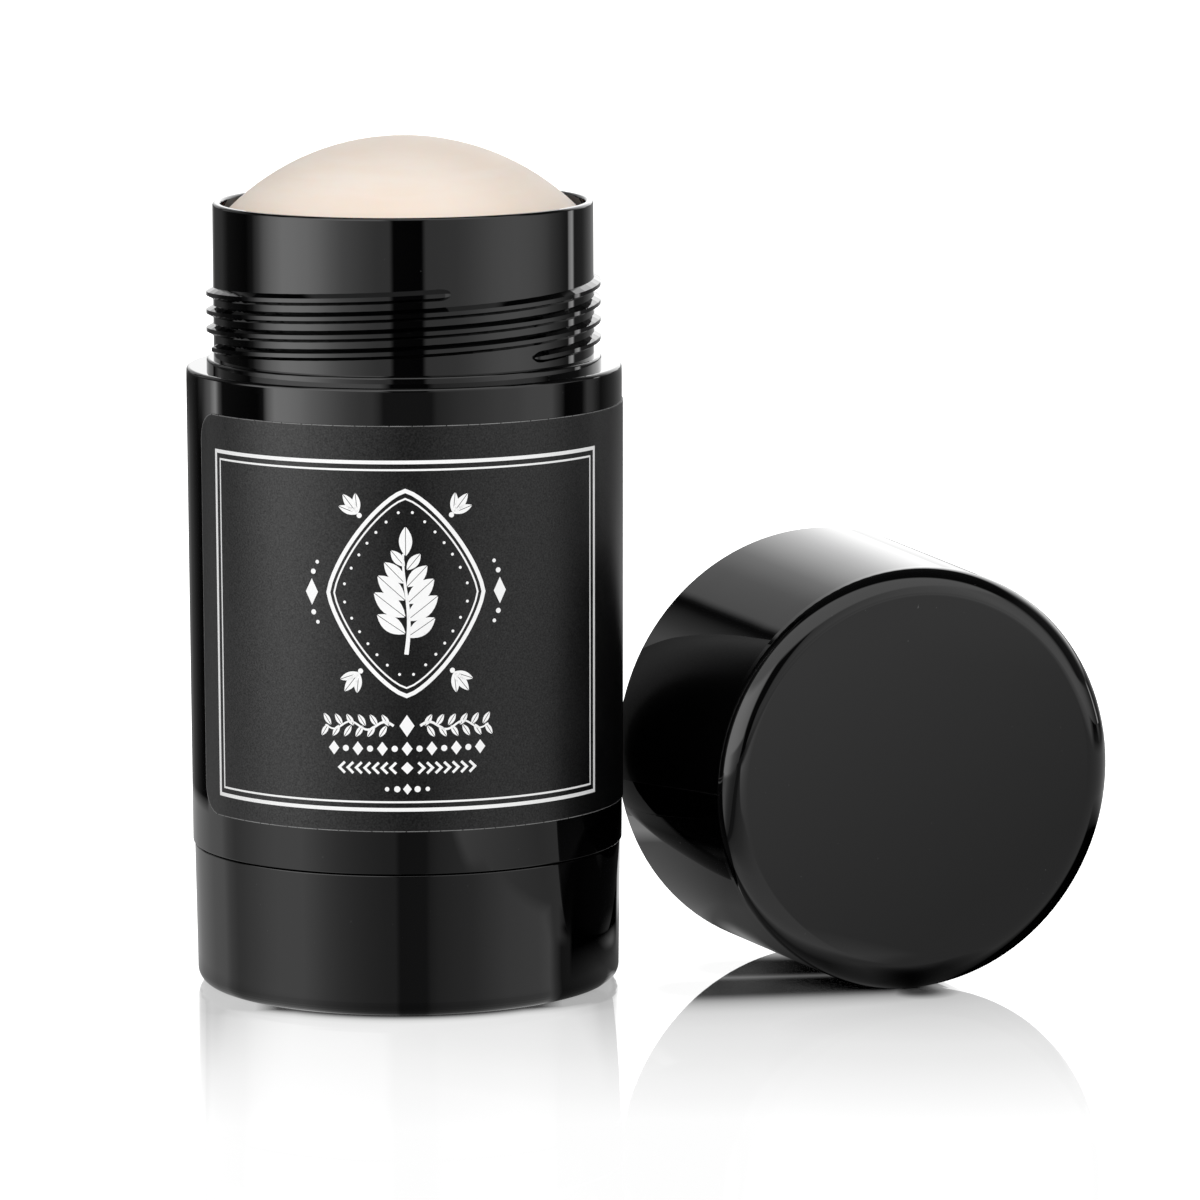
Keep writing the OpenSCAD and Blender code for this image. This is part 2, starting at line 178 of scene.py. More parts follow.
# The cap as it lies: centre of its mouth, length, axis (pointing out of the closed end), radius of its face and the
# radius to which the edge round the face is shaded
CAP_MOUTH = Vector((47.8, 16.1, 25.05)) * MM
CAP_LEN = 29.7 * MM
CAP_YAW = math.radians(21)
CAP_TIP = math.atan(0.6 * MM / CAP_LEN)
CAP_AXIS = Vector((math.sin(CAP_YAW) * math.cos(CAP_TIP), -math.cos(CAP_YAW) * math.cos(CAP_TIP), -math.sin(CAP_TIP)))
CAP_FACE_R = 24.46 * MM
CAP_EDGE = 3.1 * MM
# How deep below the face the wider edge is drawn, and how close it must come to the solid's own normal
CAP_EDGE_DEPTH = 2.4 * MM
COS_SAME_EDGE = 0.6


def soft_edge_normal(g):
    """Normal of the cap with the polish drawn wider over the edge round its closed end."""
    own = g.add("NewGeometry").outputs["Normal"]
    face = CAP_MOUTH + CAP_AXIS * CAP_LEN
    out = g.vector("SUBTRACT", object_space(g), face)
    deep = g.number("DOT_PRODUCT", out, CAP_AXIS)
    across = g.vector("SUBTRACT", out, g.vector("SCALE", CAP_AXIS, deep))
    tilt = g.rise(g.number("LENGTH", across), CAP_FACE_R - CAP_EDGE, CAP_FACE_R)
    rest = g.math("SQRT", g.math("SUBTRACT", 1.0, g.math("MULTIPLY", tilt, tilt)))
    wide = g.vector("ADD", g.vector("SCALE", g.vector("NORMALIZE", across), tilt), g.vector("SCALE", CAP_AXIS, rest))
    share = g.math("MULTIPLY", g.math("GREATER_THAN", g.number("DOT_PRODUCT", own, wide), COS_SAME_EDGE),
                   g.math("GREATER_THAN", deep, -CAP_EDGE_DEPTH))
    return g.add("Mix", {0: share, 4: own, 5: wide}, data_type="VECTOR").outputs[1]


def gloss_black(name, seed, shape=None):
    """Polished black moulding: a mirror gloss with a slow waviness, faint smudges and a little dust."""
    mat = bpy.data.materials.new(name)
    g = Graph(mat)
    p = g.add("Mapping", {"Vector": object_space(g), "Location": (seed * 0.37, seed * 0.11, 0)}).outputs[0]
    smudge = g.noise(p, 38.0, 4.0, 0.6)
    fine = g.noise(p, 900.0, 2.0, 0.5)
    dust = g.remap(g.noise(p, 2600.0, 0.0), 0.86, 0.92, 0.0, 1.0)
    dust = g.math("MULTIPLY", dust, g.remap(g.noise(p, 60.0, 1.0), 0.5, 0.7, 0.0, 1.0))
    colour = g.mix(dust, (0.0003, 0.0003, 0.0004), (0.06, 0.06, 0.06))
    rough = g.math("ADD", g.remap(smudge, 0.35, 0.75, 0.015, 0.035), g.math("MULTIPLY", dust, 0.4))
    bump = g.bump(g.noise(p, 55.0, 1.0), 0.08, 0.0001, shape(g) if shape else None)
    bump = g.bump(fine, 0.04, 0.00001, bump)
    shader = g.add("BsdfPrincipled", {"Base Color": colour, "Roughness": rough, "Normal": bump})
    shader.inputs["IOR"].default_value = 1.5
    g.finish(shader.outputs[0])
    return mat


def label_film():
    """Satin charcoal film: fine grain, a soft sheen, slight mottling and pale specks."""
    mat = bpy.data.materials.new("label_film")
    g = Graph(mat)
    p = object_space(g)
    grain = g.noise(p, 5000.0, 2.0, 0.7)
    mottle = g.noise(p, 90.0, 3.0, 0.55)
    speck = g.remap(g.noise(p, 3100.0, 1.0), 0.74, 0.82, 0.0, 1.0)
    colour = g.mix(g.remap(mottle, 0.3, 0.7, 0.0, 1.0), (0.001, 0.001, 0.0011), (0.0022, 0.0022, 0.0024))
    colour = g.mix(speck, colour, (0.03, 0.03, 0.03))
    rough = g.math("ADD", g.remap(grain, 0.3, 0.7, 0.33, 0.41), g.remap(mottle, 0.3, 0.7, -0.015, 0.015))
    bump = g.bump(g.noise(p, 70.0, 1.0), 0.12, 0.00008)
    bump = g.bump(grain, 0.5, 0.000016, bump)
    shader = g.add("BsdfPrincipled", {"Base Color": colour, "Roughness": rough, "Normal": bump,
                                      "Specular IOR Level": g.remap(grain, 0.28, 0.72, 0.24, 0.60)})
    g.finish(shader.outputs[0])
    return mat


def print_ink(name, colour, worn):
    """Printed ink: slightly uneven, with pinholes at the grain of the film."""
    mat = bpy.data.materials.new(name)
    g = Graph(mat)
    p = object_space(g)
    pin = g.remap(g.noise(p, 5200.0, 2.0, 0.7), 0.20, 0.30, 0.0, 1.0)
    patch = g.remap(g.noise(p, 240.0, 3.0), 0.3, 0.7, 1.0 - worn, 1.0)
    ink = g.math("MULTIPLY", pin, patch, clamp=True)
    shade = g.mix(ink, tuple(0.35 * c for c in colour), colour)
    bump = g.bump(g.noise(p, 2200.0, 3.0, 0.6), 0.14, 0.00001)
    shader = g.add("BsdfPrincipled", {"Base Color": shade, "Roughness": 0.42, "Normal": bump})
    g.finish(shader.outputs[0])
    return mat


def white_moulding():
    """Natural white plastic, slightly translucent, with a fine satin texture."""
    mat = bpy.data.materials.new("white_mechanism")
    g = Graph(mat)
    p = object_space(g)
    cloud = g.noise(p, 45.0, 3.0)
    colour = g.mix(cloud, (0.80, 0.79, 0.75), (0.73, 0.72, 0.68))
    rough = g.remap(g.noise(p, 300.0, 2.0), 0.3, 0.7, 0.34, 0.46)
    bump = g.bump(g.noise(p, 1800.0, 2.0), 0.10, 0.00001)
    shader = g.add("BsdfPrincipled", {"Base Color": colour, "Roughness": rough, "Normal": bump,
                                      "Subsurface Weight": 0.25, "Subsurface Scale": 0.0012})
    g.finish(shader.outputs[0])
    return mat


def wax():
    """Cream deodorant: waxy, slightly translucent, with faint wiped streaks, pits and a paler bloom."""
    mat = bpy.data.materials.new("product")
    g = Graph(mat)
    p = object_space(g)
    streak = g.noise(g.stretched(p, (40, 40, 420)), 1.0, 4.0, 0.6)
    cloud = g.noise(p, 55.0, 4.0, 0.6)
    grain = g.noise(p, 1500.0, 3.0, 0.6)
    pits = g.remap(g.add("TexVoronoi", {"Vector": p, "Scale": 520.0}).outputs["Distance"], 0.05, 0.16, 0.0, 1.0)
    colour = g.mix(g.remap(cloud, 0.3, 0.7, 0.0, 1.0), (0.89, 0.757, 0.64), (0.925, 0.805, 0.71))
    colour = g.mix(g.remap(streak, 0.5, 0.75, 0.0, 0.55), colour, (0.94, 0.86, 0.79))
    rough = g.remap(streak, 0.3, 0.7, 0.40, 0.56)
    bump = g.bump(streak, 0.18, 0.00012)
    bump = g.bump(pits, 0.10, 0.00006, bump)
    bump = g.bump(grain, 0.20, 0.00002, bump)
    shader = g.add("BsdfPrincipled", {"Base Color": colour, "Roughness": rough, "Normal": bump,
                                      "Subsurface Weight": 0.35, "Subsurface Scale": 0.0016})
    shader.inputs["Subsurface Radius"].default_value = (1.0, 0.55, 0.35)
    shader.inputs["Specular IOR Level"].default_value = 0.2
    g.finish(shader.outputs[0])
    return mat


def paint(name, mat):
    obj = nodes[name]
    obj.data.materials.clear()
    obj.data.materials.append(mat)


BLACK_BARREL = gloss_black("black_barrel", 0)
BLACK_NECK = gloss_black("black_neck", 3, round_normal)
BLACK_KNOB = gloss_black("black_knob", 1)
BLACK_CAP = gloss_black("black_cap", 2, soft_edge_normal)
paint("outer_sleeve", BLACK_BARREL)
paint("inner_tube", BLACK_NECK)
paint("knob", BLACK_KNOB)
paint("cap", BLACK_CAP)
paint("label", label_film())
WHITE = white_moulding()
paint("spindle", WHITE)
paint("elevator", WHITE)
paint("product_stick", wax())
INK = print_ink("ink_white", (0.95, 0.95, 0.95), 0.08)
EDGE = print_ink("film_edge", (0.22, 0.22, 0.22), 0.75)

# Print on the label


class Print:
    """Flat shapes in label space, turned into one thin mesh that lies on the label."""

    def __init__(self, name, lift=0.012 * MM):
        self.name, self.lift = name, lift
        self.points, self.faces = [], []

    def polygon(self, outline):
        base = len(self.points)
        self.points += outline
        self.faces.append(list(range(base, base + len(outline))))

    def fan(self, outline, centre):
        base = len(self.points)
        self.points += outline + [centre]
        n = len(outline)
        self.faces += [[base + i, base + (i + 1) % n, base + n] for i in range(n)]

    def stroke(self, path, width, closed=False):
        """Band of the given width along a path."""
        n = len(path)
        base = len(self.points)
        widths = width if isinstance(width, list) else [width] * n
        for i, p in enumerate(path):
            a = path[(i - 1) % n] if closed or i > 0 else p
            b = path[(i + 1) % n] if closed or i < n - 1 else p
            d0 = (Vector(p) - Vector(a)).normalized() if a != p else (Vector(b) - Vector(p)).normalized()
            d1 = (Vector(b) - Vector(p)).normalized() if b != p else d0
            t = (d0 + d1).normalized()
            side = Vector((-t.y, t.x)) * widths[i] / 2 / max(0.5, t.dot(d0))
            self.points += [tuple(Vector(p) + side), tuple(Vector(p) - side)]
        for i in range(n if closed else n - 1):
            j = (i + 1) % n
            self.faces.append([base + 2 * i, base + 2 * i + 1, base + 2 * j + 1, base + 2 * j])

    def build(self, mat):
        mesh = bpy.data.meshes.new(self.name)
        mesh.from_pydata([on_label(u, z, self.lift) for u, z in self.points], [], self.faces)
        mesh.validate()
        mesh.materials.append(mat)
        obj = bpy.data.objects.new(self.name, mesh)
        scene.collection.objects.link(obj)
        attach(obj, "container")
        return obj


def dense(path, step=0.8 * MM, closed=False):
    """The same path with points close enough together to follow the barrel."""
    out = []
    n = len(path)
    for i in range(n if closed else n - 1):
        a, b = Vector(path[i]), Vector(path[(i + 1) % n])
        k = max(1, math.ceil((b - a).length / step))
        out += [tuple(a.lerp(b, j / k)) for j in range(k)]
    if not closed:
        out.append(tuple(path[-1]))
    return out


def rounded_box(u0, u1, z0, z1, r, steps=8):
    """Closed path round a box with rounded corners."""
    path = []
    for cu, cz, a0 in ((u1 - r, z1 - r, 0), (u0 + r, z1 - r, 90), (u0 + r, z0 + r, 180), (u1 - r, z0 + r, 270)):
        for i in range(steps + 1):
            a = math.radians(a0 + 90 * i / steps)
            path.append((cu + r * math.cos(a), cz + r * math.sin(a)))
    return dense(path, closed=True)


def arc_u(degrees):
    """Distance round the label from the front to an azimuth."""
    return math.radians(degrees) * LABEL_R1


FRAME_U0, FRAME_U1 = arc_u(-58.2), arc_u(58.4)
FRAME_Z0, FRAME_Z1 = 23.95 * MM, 63.3 * MM


def double_border():
    """The plain double line round the label's face."""
    art = Print("print_border")
    for inset, width in ((0.0, 0.42), (0.865, 0.22)):
        d = inset * MM
        u0, u1, z0, z1 = FRAME_U0 + d, FRAME_U1 - d, FRAME_Z0 + d, FRAME_Z1 - d
        art.stroke(dense([(u0, z0), (u1, z0), (u1, z1), (u0, z1)], closed=True), width * MM, True)
    art.build(INK)


def leaf(art, root, angle, length, width):
    """Pointed leaf with a bare midrib."""
    d = Vector((math.cos(angle), math.sin(angle)))
    s = Vector((-d.y, d.x))
    for side in (1, -1):
        rim, rib = [], []
        for i in range(9):
            t = i / 8
            w = width / 2 * math.sin(math.pi * min(1, t * 0.96 + 0.02)) ** 0.8
            rim.append(tuple(Vector(root) + d * length * t + s * side * max(w, 0.05 * MM)))
            rib.append(tuple(Vector(root) + d * length * t + s * side * 0.035 * MM))
        for i in range(8):
            art.polygon([rim[i], rim[i + 1], rib[i + 1], rib[i]])


def disc(art, u, z, r, n=12):
    art.fan([(u + r * math.cos(2 * math.pi * k / n), z + r * math.sin(2 * math.pi * k / n)) for k in range(n)], (u, z))


def diamond(art, u, z, w, h):
    art.fan([(u + w, z), (u, z + h), (u - w, z), (u, z - h)], (u, z))


def lozenge(cu, cz, w, h, n=64):
    """Closed outline between a rhombus and an oval."""
    path = []
    for i in range(n):
        a = 2 * math.pi * i / n
        c, s = math.cos(a), math.sin(a)
        k = 1 / (abs(c) ** 1.35 + abs(s) ** 1.35) ** (1 / 1.35)
        path.append((cu + w * c * k, cz + h * s * k))
    return path


def emblem(cu, cz):
    """Tall lozenge with a double line, a sprig of leaves inside it and a small sprig at each corner."""
    art = Print("print_emblem")
    for half_w, half_h, width in ((8.9, 11.6, 0.46), (8.2, 10.7, 0.2)):
        art.stroke(dense(lozenge(cu, cz, half_w * MM, half_h * MM), 0.5 * MM, True), width * MM, True)
    for i, (u, z) in enumerate(lozenge(cu, cz, 7.25 * MM, 9.5 * MM, 56)):
        if i % 2:
            disc(art, u, z, 0.17 * MM, 8)
    stem = [(cu + 0.3 * MM * math.sin(i / 14 * math.pi * 1.6), cz + (-6.9 + 11.4 * i / 14) * MM) for i in range(15)]
    art.stroke(stem, [(0.5 - 0.02 * i) * MM for i in range(15)])
    for i in range(5):
        z = cz + (-4.9 + 1.9 * i) * MM
        size = (3.7, 4.3, 4.0, 3.2, 2.3)[i] * MM
        for side in (1, -1):
            angle = math.radians(90 - side * (56 - 4 * i))
            leaf(art, (cu + side * 0.15 * MM, z + (0.4 * MM if side < 0 else 0)), angle, size, 0.5 * size)
    leaf(art, (cu, cz + 4.3 * MM), math.radians(90), 3.2 * MM, 1.5 * MM)
    for side in (1, -1):
        for rise in (1, -1):
            root = Vector((cu + side * 5.4 * MM, cz + rise * 9.0 * MM))
            for k, (turn, size) in enumerate(((20, 2.3), (52, 2.7), (84, 2.3))):
                a = math.radians(turn)
                leaf(art, tuple(root), math.atan2(rise * math.sin(a), side * math.cos(a)), size * MM, 0.4 * size * MM)
            disc(art, root.x - side * 0.2 * MM, root.y - rise * 0.2 * MM, 0.3 * MM)
        diamond(art, cu + side * 10.9 * MM, cz, 0.75 * MM, 1.5 * MM)
        for rise in (1, -1):
            disc(art, cu + side * 10.7 * MM, cz + rise * 2.3 * MM, 0.3 * MM)
            disc(art, cu + side * 10.2 * MM, cz + rise * 3.4 * MM, 0.22 * MM)
    art.build(INK)


def friezes(cu):
    """Four ornamental bands below the emblem: a running leaf, lozenges with dots, chevrons and a small drop."""
    art = Print("print_friezes")
    z = 33.5 * MM
    for side in (1, -1):
        path = [(cu + side * (1.5 + 7.9 * i / 32) * MM, z + 0.45 * MM * math.sin(i / 32 * math.pi * 4))
                for i in range(33)]
        art.stroke(path, [(0.3 - 0.004 * i) * MM for i in range(33)])
        for i in range(6):
            u = cu + side * (2.0 + 1.35 * i) * MM
            for rise in (1, -1):
                leaf(art, (u + side * (0.3 * MM if rise < 0 else 0), z), math.atan2(rise * 0.85, side * 0.55), 1.5 * MM,
                     0.66 * MM)
    diamond(art, cu, z, 0.85 * MM, 1.25 * MM)
    z = 30.9 * MM
    for i in range(-6, 7):
        u = cu + 1.4 * MM * i
        if i % 2:
            disc(art, u, z, 0.36 * MM)
        else:
            diamond(art, u, z, 0.62 * MM, 0.8 * MM)
    z = 28.7 * MM
    for side in (1, -1):
        for i in range(7):
            u = cu + side * (1.6 + 0.98 * i) * MM
            tail = u - side * 0.35 * MM
            art.stroke([(tail, z + 0.62 * MM), (u + side * 0.3 * MM, z), (tail, z - 0.62 * MM)], 0.3 * MM)
    diamond(art, cu, z, 0.7 * MM, 0.7 * MM)
    z = 26.3 * MM
    for i, r in ((-2, 0.26), (-1, 0.36), (1, 0.36), (2, 0.26)):
        disc(art, cu + 1.15 * MM * i, z, r * MM)
    diamond(art, cu, z, 0.5 * MM, 0.62 * MM)
    art.build(INK)


def label_edges():
    """The pale cut edge of the film, all the way round it."""
    art = Print("film_cut_edge", 0.004 * MM)
    u0, u1 = arc_u(LABEL_LEFT), arc_u(LABEL_LEFT + LABEL_TURN)
    d = 0.05 * MM
    art.stroke(rounded_box(u0 + d, u1 - d, LABEL_Z0 + d, LABEL_Z1 - d, LABEL_CORNER), 0.09 * MM, True)
    art.build(EDGE)


double_border()
emblem(0.0, 48.5 * MM)
friezes(0.0)
label_edges()

# Light, floor and world


def azimuth(g, direction):
    """Degrees round the vertical, 0 in front of the stick and positive to the right, and the rise."""
    xyz = g.add("SeparateXYZ", {0: direction}).outputs
    turn = g.math("ARCTAN2", xyz["X"], g.math("MULTIPLY", xyz["Y"], -1.0))
    return g.math("MULTIPLY", turn, 180 / math.pi), xyz["Z"]


def blend(g, fac, a, b):
    """Number between a, where fac is 0, and b, where it is 1."""
    return g.add("Mix", {0: fac, 2: a, 3: b}, data_type="FLOAT").outputs[0]


# Highest level that a ramp holds, as its stops end at 1
PEAK = 4.0


def profile(g, turn, bands):
    """Level by azimuth, as one ramp for the left and one for the right."""
    below = [b for b in bands if b[0] < 0]
    above = [b for b in bands if b[0] > 0]
    (a0, v0), (a1, v1) = below[-1], above[0]
    middle = (0, v0 + (v1 - v0) * -a0 / (a1 - a0))
    sides = []
    for start, part in ((-180, below + [middle]), (0, [middle] + above)):
        place = g.remap(turn, start, start + 180, 0.0, 1.0)
        sides.append(g.ramp(place, [((a - start) / 180, v / PEAK) for a, v in part]))
    return g.math("MULTIPLY", blend(g, g.math("GREATER_THAN", turn, 0.0), *sides), PEAK)


# What gloss mirrors, by azimuth: (degrees, level) with 1 as white. Two soft boxes stand left and right of a dark gap
# in front, and a bright screen stands behind. FAR is the studio wall at table height, HIGH is above it, and TABLE and
# RIM are the table top close to the stick and towards its far edge.
FAR = [(-180, 1.7), (-175, 1.2), (-168, 0.3), (-160, 0.1), (-142, 0.13), (-132, 0.04), (-110, 0.02), (-104, 0.1),
       (-98, 0.6), (-93, 1.4), (-87, 2.2), (-78, 3.1), (-70, 3.2), (-60, 3.0), (-52, 2.5), (-45, 1.9), (-37, 1.35),
       (-30, 1.1), (-23, 0.88), (-16, 0.72), (-8.5, 0.7), (-6, 0.03), (11, 0.02), (13.5, 0.7), (21, 0.72), (32, 0.77),
       (39, 0.9), (47, 1.1), (55, 1.3), (63, 1.4), (72, 1.4), (81, 1.25), (91, 0.95), (96, 0.75), (101, 0.5),
       (107, 0.32), (114, 0.15), (118, 0.1), (119.5, 1.6), (123.5, 2.4), (126, 0.1), (138, 0.1), (150, 0.25),
       (168, 0.45), (174, 1.6), (180, 1.7)]
RIM = [(-153, 0.05), (-142, 0.02), (-133, 0.2), (-125, 0.8), (-119, 2.2), (-115.5, 0.6), (-112, 0.05), (-84, 0.02),
       (-80, 0.1), (-77, 1.8), (-72, 3.4), (-64, 3.3), (-57, 2.95), (-50, 2.3), (-43, 1.8), (-36, 1.35), (-30, 1.02),
       (-23, 0.78), (-17, 0.7), (-13.5, 0.45), (-11, 0.16), (14, 0.16), (17, 0.38), (24, 0.5), (30, 0.62), (40, 0.76),
       (50, 0.94), (61, 1.03), (68, 1.18), (76, 1.17), (84, 1.1), (87, 0.7), (91, 0.3), (94, 0.02), (108, 0.03),
       (113, 0.4), (117, 0.35), (122, 0.15), (127, 0.04), (144, 0.12), (157, 0.2), (180, 0.3)]
TABLE = [(-153, 0.5), (-141, 0.55), (-131, 0.58), (-119, 0.75), (-113, 0.55), (-106, 0.46), (-101, 0.53), (-91, 0.75),
         (-83, 0.97), (-75, 1.15), (-67, 1.22), (-59, 1.25), (-52, 1.05), (-45, 0.82), (-38, 0.65), (-29, 0.5),
         (-22, 0.42), (-13, 0.35), (-7, 0.33), (-4.5, 0.14), (9.5, 0.15), (12, 0.27), (16, 0.35), (25, 0.43),
         (35, 0.5), (45, 0.67), (55, 0.83), (67, 0.88), (75, 0.88), (83, 1.0), (87, 0.5), (92, 0.12), (141, 0.2),
         (152, 0.9)]
# The dark back left corner of the table, by azimuth from -180 to -130
CORNER = [((a + 180) / 50, level) for a, level in
          ((-180, 0.25), (-164, 0.167), (-158, 0.1), (-153, 0.077), (-149, 0.047), (-145, 0.028), (-141.5, 0.0145),
           (-136, 0.005))]
HIGH = [(-180, 1.9), (-174, 1.45), (-168, 0.9), (-160, 0.62), (-149.5, 0.53), (-147.5, 0.02), (-145.8, 0.02),
        (-144, 0.11), (-141, 0.25), (-137.5, 0.5), (-130, 0.3), (-102, 0.05), (-92, 1.6), (-78, 3.0), (-60, 3.2),
        (-40, 3.0), (-14, 2.4), (-8, 0.05), (13, 0.05), (17, 0.7), (40, 1.1), (60, 1.5), (80, 1.2), (92, 0.1),
        (122, 0.1), (132, 0.5), (145, 1.7), (165, 2.2), (176, 2.25), (180, 1.9)]


def make_world():
    """White to the camera, the studio to gloss, and one soft even light, a little stronger in front, to the rest."""
    world = bpy.data.worlds.new("studio")
    world.cycles.sampling_method = "NONE"
    scene.world = world
    g = Graph(world)
    aim = g.add("TexCoord").outputs["Generated"]
    turn, up = azimuth(g, aim)
    sides = blend(g, g.rise(up, 0.06, 0.10, smooth=True), profile(g, turn, FAR), profile(g, turn, HIGH))
    ahead = g.math("MULTIPLY", g.add("SeparateXYZ", {0: aim}).outputs["Y"], -1.0)
    above = blend(g, g.rise(ahead, 0.0, 0.12, smooth=True), 0.04, 1.7)
    mirrored = blend(g, g.rise(up, 0.46, 0.58, smooth=True), sides, above)
    soft = profile(g, turn, [(-180, 0.32), (-90, 0.42), (-45, 0.64), (-1, 0.78), (1, 0.78), (45, 0.64), (90, 0.42),
                             (180, 0.32)])
    path = g.add("LightPath").outputs
    level = blend(g, path["Is Glossy Ray"], soft, mirrored)
    level = blend(g, path["Is Camera Ray"], level, 1.0)
    back = g.add("Background", {"Color": (1, 1, 1, 1), "Strength": level})
    g.finish(back.outputs[0], "OutputWorld")


def reach(g, where, a, b):
    """Distance of a point from the line between a and b."""
    a, b = Vector(a), Vector(b)
    out = g.vector("SUBTRACT", where, a)
    share = g.number("DOT_PRODUCT", out, (b - a) / (b - a).length_squared)
    share = g.math("MULTIPLY", share, 1.0, clamp=True)
    return g.number("LENGTH", g.vector("SUBTRACT", out, g.vector("SCALE", b - a, share)))


# Radii of the knob's flat foot and of the barrel, and on the floor: the line on which the cap rests, the line below the
# foot of its closed end, and a line under its side
FOOT_R = 22.65 * MM
BARREL_R = 25.0 * MM
CAP_REST = ((47.8 * MM, 16.1 * MM, 0.0), (58.4 * MM, -11.6 * MM, 0.0))
CAP_LEAN = ((33 * MM, -9 * MM, 0.0), (54 * MM, -6.5 * MM, 0.0))
CAP_UNDER = ((38 * MM, 3 * MM, 0.0), (54 * MM, 4 * MM, 0.0))


def table_level(g, where, size):
    """What low gloss mirrors in the table: the studio's bands, darker at the foot and beside the cap.

    size is the distance of the point from the stick's axis.
    """
    place, _ = azimuth(g, where)
    xyz = g.add("SeparateXYZ", {0: where}).outputs
    x, y = xyz["X"], xyz["Y"]

    # Azimuth in which the mirrored ray left the barrel, from the azimuth of the point that it meets
    turn = place
    for _ in range(3):
        lean = g.math("SINE", g.math("MULTIPLY", turn, math.pi / 360))
        lean = g.math("ARCSINE", g.math("DIVIDE", g.math("MULTIPLY", lean, BARREL_R), size))
        turn = g.math("ADD", place, g.math("MULTIPLY", lean, 180 / math.pi))

    near = blend(g, g.rise(size, 0.25, 0.52, smooth=True), profile(g, turn, TABLE), profile(g, turn, RIM))
    level = blend(g, g.rise(size, 0.60, 0.64, smooth=True), near, profile(g, turn, FAR))
    corner = g.product(g.rise(size, 0.130, 0.141), g.fall(size, 0.50, 0.60), g.fall(turn, -136.0, -133.0))
    level = blend(g, corner, level, g.ramp(g.rise(turn, -180.0, -130.0), CORNER))
    level = g.math("MULTIPLY", level, g.remap(size, FOOT_R, FOOT_R + 10 * MM, 0.65, 1.0))

    # In front of the cap and to the right of it, by place instead of azimuth
    before_cap = g.math("ADD", g.math("MULTIPLY", x, -2.68), g.math("MULTIPLY", y, -4.88))
    before_cap = g.math("MAXIMUM", g.math("ADD", before_cap, 0.57), 0.5)
    beside = g.product(g.rise(size, 0.105, 0.120), g.fall(y, -0.020, -0.010), g.rise(x, 0.050, 0.060))
    front = g.product(g.rise(x, 0.048, 0.054), g.fall(y, -0.018, -0.012), g.rise(place, 66.0, 72.0))
    beside = g.math("MAXIMUM", g.math("MAXIMUM", beside, front), g.rise(x, 0.064, 0.072))
    level = blend(g, g.product(beside, g.fall(size, 0.25, 0.32)), level, before_cap)

    # The shaded gap between the stick and the cap, and the black below the cap
    cap_near = reach(g, where, *CAP_REST)
    gap = blend(g, g.rise(cap_near, 0.008, 0.014, smooth=True), g.remap(y, 0.006, 0.014, 0.12, 0.8),
                g.remap(y, 0.010, 0.030, 0.14, 0.28))
    between = g.product(g.rise(place, 84.0, 92.0), g.fall(place, 160.0, 170.0), g.fall(size, 0.046, 0.060))
    level = blend(g, between, level, gap)
    below = g.product(g.rise(turn, 98.5, 101.0), g.fall(turn, 158.0, 163.0), g.rise(size, 0.032, 0.048),
                      g.fall(size, 0.12, 0.15))
    level = blend(g, below, level, 0.0)
    return g.math("MULTIPLY", level, g.remap(cap_near, 0.0, 0.006, 0.1, 1.0, smooth=True))


# Level of the table by the distance, in mm, from what stands on it; the stick's is how much darker it gets
REST_SHADE = [(0, 0.02), (2, 0.13), (3.5, 0.35), (5, 0.57), (7, 0.61), (10, 0.65), (14, 0.68), (22, 0.74), (30, 0.80),
              (38, 0.83), (49, 0.89), (59, 0.94), (70, 1.0)]
LEAN_SHADE = [(0, 0.03), (4, 0.08), (5, 0.14), (6, 0.22), (7, 0.32), (8, 0.40), (9, 0.47), (11, 0.57), (13, 0.65),
              (15, 0.70), (22, 0.77), (30, 0.81), (38, 0.84), (49, 0.90), (59, 0.94), (70, 1.0)]
STICK_SHADE = [(0, 1.0), (0.6, 0.95), (1.5, 0.7), (2.5, 0.42), (3.5, 0.26), (5, 0.17), (8.4, 0.13), (16.6, 0.10),
               (25, 0.08), (35, 0.055), (45, 0.035), (60, 0.0), (70, 0.0)]
# and how that grows, as a quarter of the factor, towards the sides of its mirror image
SIDE_SHADE = [(0, 0.25), (13, 0.25), (15, 0.31), (17, 0.375), (18.6, 0.44), (20.5, 0.575), (21.7, 0.75), (23.5, 0.78),
              (28, 0.4), (34, 0.3), (70, 0.3)]


def by_mm(g, distance, table):
    """Level at a distance, from a table in mm that runs to 70."""
    return g.ramp(g.remap(distance, 0.0, 70 * MM, 0.0, 1.0), [(d / 70, v) for d, v in table])


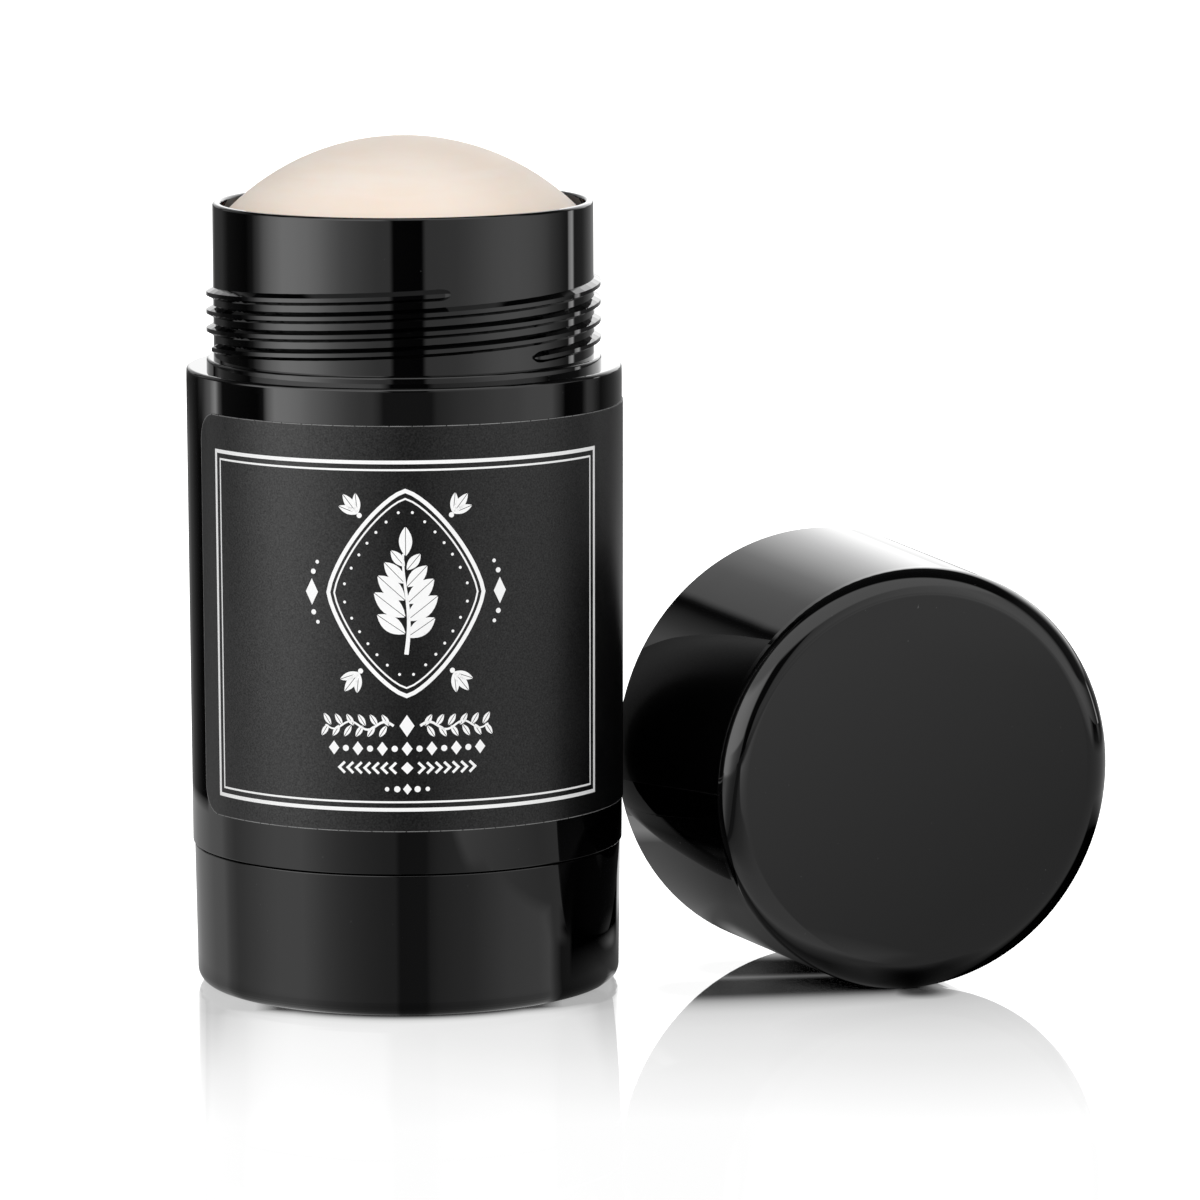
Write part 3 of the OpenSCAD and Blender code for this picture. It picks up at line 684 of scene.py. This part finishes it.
def make_floor():
    """Polished white table: white where it is open, with a soft contact shadow and a clear mirror image near it."""
    bm = bmesh.new()
    bmesh.ops.create_grid(bm, x_segments=8, y_segments=8, size=3.0)
    mesh = bpy.data.meshes.new("floor")
    bm.to_mesh(mesh)
    bm.free()
    floor = bpy.data.objects.new("floor", mesh)
    floor.location = (0, 0, -0.02 * MM)
    scene.collection.objects.link(floor)
    mat = bpy.data.materials.new("floor_white")
    mat.cycles.emission_sampling = "NONE"
    g = Graph(mat)
    path = g.add("LightPath").outputs
    where = object_space(g)
    size = g.number("LENGTH", where)
    xyz = g.add("SeparateXYZ", {0: where}).outputs
    aside = g.math("ABSOLUTE", xyz["X"])

    # The stick's shade: by the distance from its foot, stronger to the sides of its mirror image, with an upper limit
    factor = g.math("MULTIPLY", by_mm(g, aside, SIDE_SHADE), 4.0)
    factor = blend(g, g.rise(xyz["Y"], -0.020, -0.004, smooth=True), factor, 1.3)
    factor = blend(g, g.remap(size, 0.040, 0.080, 0.0, 0.6), factor, 1.2)
    stick = g.math("MULTIPLY", by_mm(g, g.math("SUBTRACT", size, FOOT_R), STICK_SHADE), factor)
    most = g.remap(aside, 14.5 * MM, 17.5 * MM, 1.0, g.remap(xyz["X"], -10 * MM, 10 * MM, 0.42, 0.56))
    level = g.math("SUBTRACT", 1.0, g.math("MINIMUM", stick, most))
    for line, table in ((CAP_REST, REST_SHADE), (CAP_LEAN, LEAN_SHADE), (CAP_UNDER, LEAN_SHADE)):
        level = g.math("MINIMUM", level, by_mm(g, reach(g, where, *line), table))

    # To the camera a little diffuse white and a polish over the level; to gloss the studio's bands; plain to the rest
    diffuse = g.add("BsdfDiffuse", {"Color": (0.08, 0.08, 0.08, 1)})
    gloss = g.add("BsdfGlossy", {"Color": (0.45, 0.45, 0.45, 1), "Roughness": 0.02})
    open_level = g.math("MAXIMUM", g.math("SUBTRACT", level, 0.07), 0.0)
    glow = g.add("Emission", {"Color": (1, 1, 1, 1), "Strength": open_level})
    polished = g.add("AddShader", {0: diffuse.outputs[0], 1: gloss.outputs[0]})
    seen = g.add("AddShader", {0: polished.outputs[0], 1: glow.outputs[0]})
    mirrored = g.add("Emission", {"Color": (1, 1, 1, 1), "Strength": table_level(g, where, size)})
    plain = g.add("BsdfDiffuse", {"Color": (0.7, 0.7, 0.7, 1)})
    unseen = g.add("MixShader", {0: path["Is Glossy Ray"], 1: plain.outputs[0], 2: mirrored.outputs[0]})
    shader = g.add("MixShader", {0: path["Is Camera Ray"], 1: unseen.outputs[0], 2: seen.outputs[0]})
    g.finish(shader.outputs[0])
    mesh.materials.append(mat)


def area(name, place, aim, size, power):
    """Soft rectangular light that only matt surfaces see."""
    data = bpy.data.lights.new(name, "AREA")
    data.shape = "RECTANGLE"
    data.size, data.size_y = size
    data.energy = power
    obj = bpy.data.objects.new(name, data)
    obj.location = place
    obj.rotation_euler = (Vector(aim) - Vector(place)).to_track_quat("-Z", "Y").to_euler()
    obj.visible_glossy = False
    scene.collection.objects.link(obj)


make_world()
make_floor()
area("key", (-0.08, -1.05, 0.60), (0, 0, 0.07), (0.4, 0.35), 7.0)

# Camera at the photograph's viewpoint

YAW, PITCH, ROLL = 0.0261363, 0.1460309, -0.0038877
forward = Vector((math.sin(YAW) * math.cos(PITCH), math.cos(YAW) * math.cos(PITCH), -math.sin(PITCH)))
level = Vector((math.cos(YAW), -math.sin(YAW), 0))
upright = level.cross(forward)
right = math.cos(ROLL) * level + math.sin(ROLL) * upright
up = -math.sin(ROLL) * level + math.cos(ROLL) * upright
camera_data = bpy.data.cameras.new("camera")
camera_data.sensor_width = 36.0
camera_data.lens = 7501.0 / 1200 * 36.0
camera_data.clip_start, camera_data.clip_end = 0.05, 20.0
camera = bpy.data.objects.new("camera", camera_data)
basis = Matrix((right, up, -forward)).transposed()
camera.matrix_world = Matrix.Translation((0, -0.855457, 0.169794)) @ basis.to_4x4()
scene.collection.objects.link(camera)
scene.camera = camera

scene.view_settings.view_transform = "Standard"
